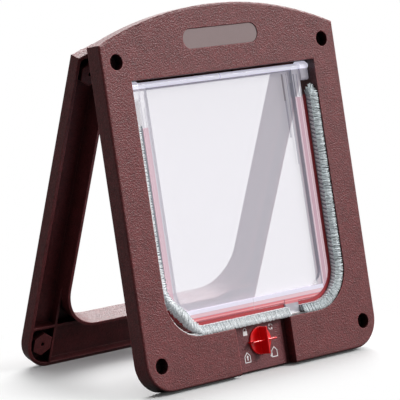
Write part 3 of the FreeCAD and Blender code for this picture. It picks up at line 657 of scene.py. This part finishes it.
class BrushStrip:
    """A pile seal: a woven root under slanted stitches, and yarn that reaches out to the wall.

    Its hairs are some 0.05 mm thick in fact. They are drawn as blunt bits of 0.34 mm to show.
    """

    step = 0.62
    stitch = 3.2
    rows = 8
    fibre_width = 0.34
    splay = 1.7
    gather = 0.17
    sunk_run = 30.0
    fray_count = 240

    def __init__(self, side: int, size: BandSize, seed: int, loose_corner: bool,
                 frayed_top: bool) -> None:
        self.side = side
        self.size = size
        self.random = random.Random(seed)
        self.loose_corner = loose_corner
        self.frayed_top = frayed_top
        self.spots = self.follow_wall()

    def follow_wall(self) -> list[Spot]:
        """Walks along the wall of the opening.

        Returns:
            Places from the brush's top end, round the corner, to its lower end.
        """
        size, side = self.size, self.side
        top = size.left_top if side < 0 else size.right_top
        end = size.left_end if side < 0 else size.right_end
        radius = size.opening_radius
        middle = Vector((side * (size.opening_half - radius), size.sill_height + radius))
        down = top - middle.y
        turn = radius * math.pi / 2
        whole = down + turn + abs(end - middle.x)
        spots = []
        for i in range(int(whole / self.step) + 1):
            run = i * self.step
            if run < down:
                wall, inward = Vector((side * size.opening_half, top - run)), Vector((-side, 0.0))
            elif run < down + turn:
                angle = (run - down) / radius
                outward = Vector((side * math.cos(angle), -math.sin(angle)))
                wall, inward = middle + outward * radius, -outward
            else:
                wall = Vector((middle.x - side * (run - down - turn), size.sill_height))
                inward = Vector((0.0, 1.0))
            share = (run - down + 4.0) / (turn + 6.0)
            slack = math.sin(math.pi * share) if self.loose_corner and 0 < share < 1 else 0.0
            sunk = max(0.0, min(1.0, (down - run) / self.sunk_run)) if self.loose_corner else 0.0
            droop = max(0.0, min(1.0, (run - down - turn * 0.6) / 8.0))
            spots.append(Spot(wall, inward, run, slack, sunk, droop))
        return spots

    def place(self, spot: Spot, inset: float, depth: float, shift: float = 0.0) -> Vector:
        """Gives a place in the brush.

        Args:
            spot: where along the wall.
            inset: distance from the wall.
            depth: distance out of the plate's face.
            shift: distance onwards along the wall.

        Returns:
            The place in plate millimetres.
        """
        onwards = Vector((-spot.inward.y, spot.inward.x)) * self.side
        flat = spot.wall + spot.inward * inset + onwards * shift
        return Vector((flat.x, flat.y, depth))

    def root(self, spot: Spot) -> float:
        """Gives how far the root stands off the wall, more where the brush has come loose."""
        return self.size.root_inset + 8.5 * spot.slack

    def backing(self) -> BMesh:
        """Builds the woven root, a thin tape under the yarn.

        Returns:
            Its geometry in plate millimetres.
        """
        build = bmesh.new()
        size = self.size
        rings = []
        for spot in self.spots:
            back = size.back + 1.2 * min(1.0, 3 * spot.slack)
            corners = [(self.root(spot), back), (self.root(spot) - 1.3, back),
                       (self.root(spot) - 1.3, size.front - 1.6), (self.root(spot), size.front - 1.0)]
            rings.append([build.verts.new(self.place(spot, inset, depth)) for inset, depth in corners])
        bridge(build, rings)
        build.faces.new(rings[0])
        build.faces.new(list(reversed(rings[-1])))
        return build

    def stitches(self) -> BMesh:
        """Builds the row of slanted stitches on the flap's side of the root.

        Returns:
            Their geometry in plate millimetres.
        """
        build = bmesh.new()
        size = self.size
        gap = round(self.stitch / self.step)
        for index in range(gap // 2, len(self.spots) - gap // 2, gap):
            spot = self.spots[index]
            if spot.sunk > 0.5:
                continue
            middle = (size.front + size.back) / 2 + 0.3
            half = abs(size.front - size.back) / 2 - 0.5
            grid = []
            for i in range(7):
                high = -1 + i / 3
                row = []
                for j in range(5):
                    wide = -1 + j / 2
                    bulge = 0.75 * math.sqrt(max(0.0, 1 - wide * wide)) * (1 - 0.6 * high ** 4) - 0.08
                    shift = wide * 1.15 * (1 - 0.35 * high * high) + high * 0.9
                    row.append(build.verts.new(
                        self.place(spot, self.root(spot) + bulge, middle + high * half, shift)))
                grid.append(row)
            bridge(build, grid, closed=False)
        return build

    def pile(self) -> BMesh:
        """Builds the yarn, gathered at each stitch and open at the wall.

        Returns:
            Its geometry in plate millimetres.
        """
        build = bmesh.new()
        size = self.size
        spare = abs(size.front - size.back)
        for spot in self.spots:
            phase = (spot.run / self.stitch) % 1.0 - 0.5
            for row in range(self.rows):
                share = row / (self.rows - 1)
                depth = size.front - spare * share
                if spot.slack > 0.35 and share > 0.75:
                    depth += 1.4
                gather = -phase * self.stitch * self.gather + self.random.uniform(-0.5, 0.5)
                reach = self.random.gauss(0.0, 0.28 + 1.1 * spot.slack)
                splay = self.splay * (1 - share) * (1 - spot.sunk)
                depth -= 1.3 * spot.sunk * (1 - share)
                tip_inset = max(0.2, size.tip_inset + abs(reach) + 6.6 * spot.slack)
                if row < 3 and spot.droop > 0:
                    splay += 0.2 * spot.droop
                    tip_inset -= (0.6 - 0.2 * row) * spot.droop
                root = self.place(spot, self.root(spot) - 0.2, depth * 0.8 - 1.0, gather)
                spread = 1 + 2.2 * spot.slack
                tip = self.place(spot, tip_inset, depth + splay + self.random.uniform(-0.2, 0.1) * spread,
                                 self.random.uniform(-0.45, 0.45) * spread)
                self.add_yarn(build, root, tip)
        if self.frayed_top:
            self.add_fray(build)
        return build

    def selvage(self) -> BMesh:
        """Builds the thin pale edge that stays on the wall where the brush has come loose.

        Returns:
            Its geometry in plate millimetres.
        """
        build = bmesh.new()
        for spot in self.spots:
            if spot.slack <= 0.0:
                continue
            for depth in (-1.3, -2.0, -2.7):
                start = self.place(spot, self.random.uniform(0.3, 0.9), depth, -0.9)
                finish = self.place(spot, self.random.uniform(0.3, 0.9), depth, 0.9)
                self.add_yarn(build, start, finish)
        return build

    def add_fray(self, build: BMesh) -> None:
        """Adds the loose tuft that stands up from the brush's top end.

        Args:
            build: the geometry.
        """
        size = self.size
        for _ in range(self.fray_count):
            spot = self.spots[self.random.randrange(0, 9)]
            lean = self.random.uniform(-1.0, 1.0)
            length = self.random.uniform(3.0, 6.5)
            root = self.place(spot, self.root(spot) - 1.0 + lean * 0.8,
                              self.random.uniform(-6.8, -3.4))
            tip_inset = self.root(spot) - 2.2 + lean * 4.0
            tip = self.place(spot, max(0.4, tip_inset), root.z + self.random.uniform(-0.3, 2.4),
                             -length * math.sqrt(max(0.05, 1 - 0.7 * lean * lean)))
            self.add_yarn(build, root, tip)

    def add_yarn(self, build: BMesh, root: Vector, tip: Vector) -> None:
        """Adds one blunt bit of yarn.

        Args:
            build: the geometry.
            root: its foot.
            tip: its free end.
        """
        along = (tip - root).normalized()
        sideways = along.cross(Vector((0.0, 0.0, 1.0))).normalized()
        outwards = sideways.cross(along)
        width = self.fibre_width * self.random.uniform(0.8, 1.25)
        rings = []
        for place, share in ((root, 0.6), (root.lerp(tip, 0.6), 1.0), (tip, 0.55)):
            rings.append([
                build.verts.new(place + (sideways * math.cos(angle)
                                         + outwards * math.sin(angle)) * width * share)
                for angle in (0.5, 2.6, 4.7)])
        bridge(build, rings)
        build.faces.new(rings[-1])


@dataclass(frozen=True)
class KnobGrip:
    """The red knob: a round disc with a thin upright blade and a thin crossbar, on a stem with a key."""

    height: float = 21.0
    disc_radius: float = 10.1
    disc_back: float = -6.3
    disc_front: float = -5.0
    blade: float = 1.3
    fin_half: float = 9.8
    fin_front: float = 2.6
    bar_half: float = 11.6
    bar_front: float = -0.4
    stem_radius: float = 3.9
    stem_back: float = -8.3
    key_half: float = 2.4
    key_back: float = -13.1

    def build(self) -> BMesh:
        """Builds the whole knob.

        Returns:
            Its geometry in plate millimetres.
        """
        build = bmesh.new()
        self.add_round(build)
        self.add_block(build, (-self.blade / 2, self.blade / 2), (-self.fin_half, self.fin_half),
                       (self.disc_front - 0.3, self.fin_front), 0.45)
        self.add_block(build, (-self.bar_half, self.bar_half), (-self.blade / 2, self.blade / 2),
                       (self.disc_back + 0.1, self.bar_front), 0.45)
        self.add_block(build, (-self.key_half, self.key_half), (-self.key_half, self.key_half),
                       (self.key_back, self.stem_back + 0.2), 0.2)
        return build

    def add_round(self, build: BMesh, sides: int = 72) -> None:
        """Turns the disc and its stem on a lathe.

        Args:
            build: the geometry.
            sides: how many faces go round.
        """
        radius, front, back = self.disc_radius, self.disc_front, self.disc_back
        outline = [(radius - 0.55, front), (radius - 0.2, front - 0.08), (radius, front - 0.35),
                   (radius, back + 0.25), (radius - 0.25, back), (self.stem_radius, back),
                   (self.stem_radius, self.stem_back)]
        rings = []
        for distance, level in outline:
            rings.append([build.verts.new((distance * math.cos(math.tau * i / sides),
                                           self.height + distance * math.sin(math.tau * i / sides), level))
                          for i in range(sides)])
        bridge(build, rings)
        build.faces.new(rings[0])
        build.faces.new(list(reversed(rings[-1])))

    def add_block(self, build: BMesh, across: Point2, upward: Point2, outward: Point2,
                  round_by: float) -> None:
        """Adds a block with rounded edges.

        Args:
            build: the geometry.
            across: its ends in X.
            upward: its ends up the plate, from the knob's middle.
            outward: its ends out of the plate.
            round_by: how far its edges are rounded.
        """
        made = bmesh.ops.create_cube(build, size=1.0)
        for vert in made["verts"]:
            place = [(low + high) / 2 + share * (high - low)
                     for share, (low, high) in zip(vert.co, (across, upward, outward))]
            vert.co = Vector((place[0], place[1] + self.height, place[2]))
        edges = list({edge for vert in made["verts"] for edge in vert.link_edges})
        bmesh.ops.bevel(build, geom=edges, offset=round_by, segments=2, profile=0.5, affect="EDGES")


class LockIcons:
    """White pictograms printed round the knob: padlock, two arrows and two houses."""

    print_height = 0.06
    line = 0.56
    face = -6.5
    knob = (0.0, 21.0)

    def add_polygon(self, build: BMesh, points: Sequence[Point2]) -> None:
        """Adds one flat shape with a little height.

        Args:
            build: the geometry.
            points: its outline.
        """
        lower = [build.verts.new((x, y, self.face + 0.005)) for x, y in points]
        upper = [build.verts.new((x, y, self.face + self.print_height)) for x, y in points]
        build.faces.new(upper)
        build.faces.new(list(reversed(lower)))
        for i, _ in enumerate(points):
            j = (i + 1) % len(points)
            build.faces.new((lower[i], lower[j], upper[j], upper[i]))

    def add_line(self, build: BMesh, points: Sequence[Point2], closed: bool = False) -> None:
        """Adds a printed line of even width.

        Args:
            build: the geometry.
            points: the line's corners.
            closed: whether it returns to its start.
        """
        pairs = list(zip(points, points[1:]))
        if closed:
            pairs.append((points[-1], points[0]))
        for (x0, y0), (x1, y1) in pairs:
            length = math.hypot(x1 - x0, y1 - y0)
            along = ((x1 - x0) / length, (y1 - y0) / length)
            half = self.line / 2
            nx, ny = -along[1] * half, along[0] * half
            sx, sy = along[0] * half * 0.8, along[1] * half * 0.8
            self.add_polygon(build, [(x0 - sx + nx, y0 - sy + ny), (x0 - sx - nx, y0 - sy - ny),
                                     (x1 + sx - nx, y1 + sy - ny), (x1 + sx + nx, y1 + sy + ny)])

    def arc(self, x: float, y: float, radius: float, first: float, last: float) -> list[Point2]:
        """Points along an arc.

        Args:
            x: centre across.
            y: centre up the plate.
            radius: its radius.
            first: first angle in degrees.
            last: last angle in degrees.

        Returns:
            The points.
        """
        count = max(4, round(abs(last - first) / 20))
        angles = [math.radians(first + (last - first) * i / count) for i in range(count + 1)]
        return [(x + radius * math.cos(angle), y + radius * math.sin(angle)) for angle in angles]

    def padlock(self, build: BMesh, x: float, y: float) -> None:
        """Adds the padlock: both ways locked."""
        self.add_polygon(build, [(x + i, y + j) for i, j in ((-2, -2.6), (2, -2.6), (2, 0.5), (-2, 0.5))])
        self.add_line(build, [(x - 1.3, y + 0.4)] + self.arc(x, y + 1.3, 1.3, 180, 0)
                      + [(x + 1.3, y + 0.4)])

    def arrows(self, build: BMesh, x: float, y: float) -> None:
        """Adds two arrows that chase each other: both ways free.

        Args:
            build: the geometry.
            x: middle across.
            y: middle up the plate.
        """
        radius = 1.9
        for turn in (20, 200):
            self.add_line(build, self.arc(x, y, radius, turn, turn + 95))
            end = math.radians(turn + 100)
            tip = math.radians(turn + 145)
            inner, outer = radius - 1.1, radius + 1.1
            self.add_polygon(build, [(x + outer * math.cos(end), y + outer * math.sin(end)),
                                     (x + radius * math.cos(tip), y + radius * math.sin(tip)),
                                     (x + inner * math.cos(end), y + inner * math.sin(end))])

    def house(self, build: BMesh, x: float, y: float) -> None:
        """Adds the outline of a house with a steep roof."""
        self.add_line(build, [(x - 2.6, y - 3.3), (x + 2.6, y - 3.3), (x + 2.6, y + 1.0), (x, y + 3.7),
                              (x - 2.6, y + 1.0)], closed=True)

    def way_in(self, build: BMesh, x: float, y: float) -> None:
        """Adds a house with an arrow inside it: only in."""
        self.house(build, x, y)
        self.add_polygon(build, [(x - 0.45, y - 1.9), (x + 0.45, y - 1.9),
                                 (x + 0.45, y + 0.4), (x - 0.45, y + 0.4)])
        self.add_polygon(build, [(x - 1.1, y + 0.3), (x + 1.1, y + 0.3), (x, y + 1.7)])

    def way_out(self, build: BMesh, x: float, y: float) -> None:
        """Adds a house with an arrow that leaves it: only out."""
        self.house(build, x, y)
        self.add_line(build, [(x - 2.3, y - 1.0), (x - 3.4, y - 1.2), (x - 3.6, y - 2.0)])
        self.add_polygon(build, [(x - 4.4, y - 1.9), (x - 2.9, y - 1.9), (x - 3.7, y - 3.3)])

    def build(self) -> BMesh:
        """Builds all four pictograms round the knob.

        Returns:
            Their geometry in plate millimetres.
        """
        build = bmesh.new()
        x, y = self.knob
        self.padlock(build, x - 12.9, y + 8.0)
        self.arrows(build, x + 12.2, y + 8.0)
        self.way_out(build, x + 12.6, y - 10.3)
        self.way_in(build, x - 13.8, y - 10.3)
        return build


class Studio:
    """Floor, lights, surroundings and the camera at the photograph's angle."""

    camera_place = (-1.176319, -1.297309, 0.393644)
    yaw = -42.306
    pitch = -8.990
    roll = 1.580
    focal_pixels = 2447.2
    image_pixels = 400
    sensor = 36.0
    object_half = (0.1125, 0.074, 0.0)
    shadow_start = -0.02
    shadow_reach = 0.09
    floor_bounce = 0.09
    floor_tone = 0.70
    floor_half = 12.0
    bright_way = (0.72, 0.25, 0.65)
    dimmest = 0.015
    brightest = 1.05

    def camera(self) -> None:
        """Places the camera that was solved from the photograph."""
        data = bpy.data.cameras.new("photo_camera")
        data.sensor_width = self.sensor
        data.lens = self.focal_pixels / self.image_pixels * self.sensor
        item = bpy.data.objects.new("photo_camera", data)
        bpy.context.collection.objects.link(item)
        turned = (Matrix.Rotation(math.radians(self.yaw), 3, "Z")
                  @ Matrix.Rotation(math.radians(self.pitch), 3, "X")
                  @ Matrix.Rotation(math.radians(self.roll), 3, "Y"))
        right, forward, upward = turned.col[0], turned.col[1], turned.col[2]
        placed = Matrix((right, upward, -forward)).transposed().to_4x4()
        placed.translation = Vector(self.camera_place)
        item.matrix_world = placed
        bpy.context.scene.camera = item

    def sun(self, name: str, source: Sequence[float], strength: float, spread: float) -> None:
        """Adds one broad, even light from a direction.

        Args:
            name: its name.
            source: the direction that it comes from.
            strength: its strength in watts per square metre.
            spread: how wide it looks, in degrees, which softens its shadows.
        """
        data = bpy.data.lights.new(name, "SUN")
        data.energy = strength
        data.angle = math.radians(spread)
        item = bpy.data.objects.new(name, data)
        item.rotation_euler = Vector(source).to_track_quat("Z", "Y").to_euler()
        bpy.context.collection.objects.link(item)

    def surroundings(self) -> None:
        """Lights the object softly from all round, dimmer from the left."""
        world = bpy.data.worlds.new("studio")
        world.use_nodes = True
        tree = world.node_tree
        background = tree.nodes["Background"]
        place = add_node(tree, "ShaderNodeTexCoord")
        slope = add_node(tree, "ShaderNodeVectorMath",
                         {"operation": "DOT_PRODUCT", 1: self.bright_way},
                         {0: place.outputs["Generated"]})
        ramp = add_node(tree, "ShaderNodeMapRange",
                        {"From Min": -0.35, "From Max": 0.85, "To Min": self.dimmest,
                         "To Max": self.brightest}, {"Value": slope.outputs["Value"]})
        tree.links.new(ramp.outputs["Result"], background.inputs["Color"])
        bpy.context.scene.world = world

    def floor(self, paint: Paint) -> None:
        """Lays the pale floor under the object.

        Args:
            paint: source of its material.
        """
        build = bmesh.new()
        bmesh.ops.create_grid(build, x_segments=1, y_segments=1, size=self.floor_half)
        material = paint.material(FLOOR)
        self.whiten(material.node_tree)
        item = mesh_object("floor", build, Matrix.Identity(4), material)

    def whiten(self, tree: Tree) -> None:
        """Lets the floor show as white to the eye away from the object, and keeps the shadow near it.

        Args:
            tree: the floor's node tree.
        """
        shader = tree.nodes["Principled BSDF"]
        output = tree.nodes["Material Output"]
        place = add_node(tree, "ShaderNodeTexCoord")
        size = add_node(tree, "ShaderNodeVectorMath", {"operation": "ABSOLUTE"}, {0: place.outputs["Object"]})
        past = add_node(tree, "ShaderNodeVectorMath", {"operation": "SUBTRACT", 1: self.object_half},
                        {0: size.outputs["Vector"]})
        parts = add_node(tree, "ShaderNodeSeparateXYZ", links={"Vector": past.outputs["Vector"]})
        far = add_node(tree, "ShaderNodeMath", {"operation": "MAXIMUM"},
                       {0: parts.outputs["X"], 1: parts.outputs["Y"]})
        fade = add_node(tree, "ShaderNodeMapRange",
                        {"interpolation_type": "SMOOTHSTEP", "From Min": self.shadow_start,
                         "From Max": self.shadow_reach}, {"Value": far.outputs["Value"]})
        path = add_node(tree, "ShaderNodeLightPath")
        tone = add_node(tree, "ShaderNodeMapRange", {"To Min": self.floor_bounce, "To Max": self.floor_tone},
                        {"Value": path.outputs["Is Camera Ray"]})
        tree.links.new(tone.outputs["Result"], shader.inputs["Base Color"])
        seen = add_node(tree, "ShaderNodeMath", {"operation": "MAXIMUM"},
                        {0: path.outputs["Is Camera Ray"], 1: path.outputs["Is Transmission Ray"]})
        share = add_node(tree, "ShaderNodeMath", {"operation": "MULTIPLY"},
                         {0: fade.outputs["Result"], 1: seen.outputs["Value"]})
        white = add_node(tree, "ShaderNodeEmission", {"Strength": 1.0})
        blend = add_node(tree, "ShaderNodeMixShader",
                         links={0: share.outputs["Value"], 1: shader.outputs["BSDF"],
                                2: white.outputs["Emission"]})
        tree.links.new(blend.outputs["Shader"], output.inputs["Surface"])

    def set_up(self, paint: Paint) -> None:
        """Builds the whole studio.

        Args:
            paint: source of the floor's material.
        """
        self.camera()
        self.surroundings()
        self.floor(paint)
        self.sun("key", (0.62, -0.58, 0.62), 2.35, 24.0)
        self.sun("top", (0.50, 0.52, 0.74), 2.4, 44.0)
        bpy.context.scene.view_settings.view_transform = "Standard"


def paint_node(name: str, material: Material) -> None:
    """Gives a node of the frame its material.

    Args:
        name: the node.
        material: its material.
    """
    item = frame["nodes"][name]
    for slot in item.material_slots:
        slot.material = material
    LOG.info("%s painted", name)


def add_brushes(plate: Plate, paint: Paint) -> None:
    """Builds both pile seals in place of their plain solids.

    Args:
        plate: frame of the front half.
        paint: source of the pile's materials.
    """
    root = paint.material(PILE_ROOT)
    strips = (("left", BrushStrip(-1, BandSize(), 11, True, False), paint.material(PILE_PALE)),
              ("right", BrushStrip(1, BandSize(), 23, False, True), paint.material(PILE)))
    for word, strip, yarn in strips:
        pieces = (("backing", strip.backing(), root), ("stitches", strip.stitches(), yarn),
                  ("pile", strip.pile(), yarn))
        for part, build, material in pieces:
            piece = mesh_object(f"brush_{part}_{word}", build, plate.matrix(), material,
                                smooth=part != "backing")
            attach(piece, "flap")
            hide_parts(f"brush_{word}")
        if strip.loose_corner:
            edge = mesh_object(f"brush_selvage_{word}", strip.selvage(), plate.matrix(), yarn,
                               smooth=True)
            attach(edge, "frame")
        LOG.info("brush %s built", word)


def add_knob(plate: Plate, paint: Paint) -> None:
    """Builds the knob with its thin blades in place of the plainer solid.

    Args:
        plate: frame of the front half.
        paint: source of its material.
    """
    knob = mesh_object("knob_grip", KnobGrip().build(), plate.matrix(), paint.material(KNOB_RED))
    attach(knob, "lock")
    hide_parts("lock_knob")
    LOG.info("knob built")


def add_icons(plate: Plate, paint: Paint) -> None:
    """Prints the pictograms on the lock cover.

    Args:
        plate: frame of the front half.
        paint: source of the print's material.
    """
    icons = mesh_object("lock_icons", LockIcons().build(), plate.matrix(), paint.material(PRINT))
    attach(icons, "frame")
    LOG.info("pictograms printed")


def main() -> None:
    """Dresses the frame and sets up the studio."""
    logging.basicConfig(level=logging.INFO)
    paint = Paint()
    plate = Plate()
    for name, finish in NODE_FINISHES.items():
        paint_node(name, paint.material(finish))
    paint_node("flap_panel", FlapDress(plate).material())
    paint_node("front_frame", FrameDress(plate).material(paint))
    add_brushes(plate, paint)
    add_knob(plate, paint)
    add_icons(plate, paint)
    Studio().set_up(paint)
    LOG.info("scene ready")


if __name__ == "__main__":
    main()
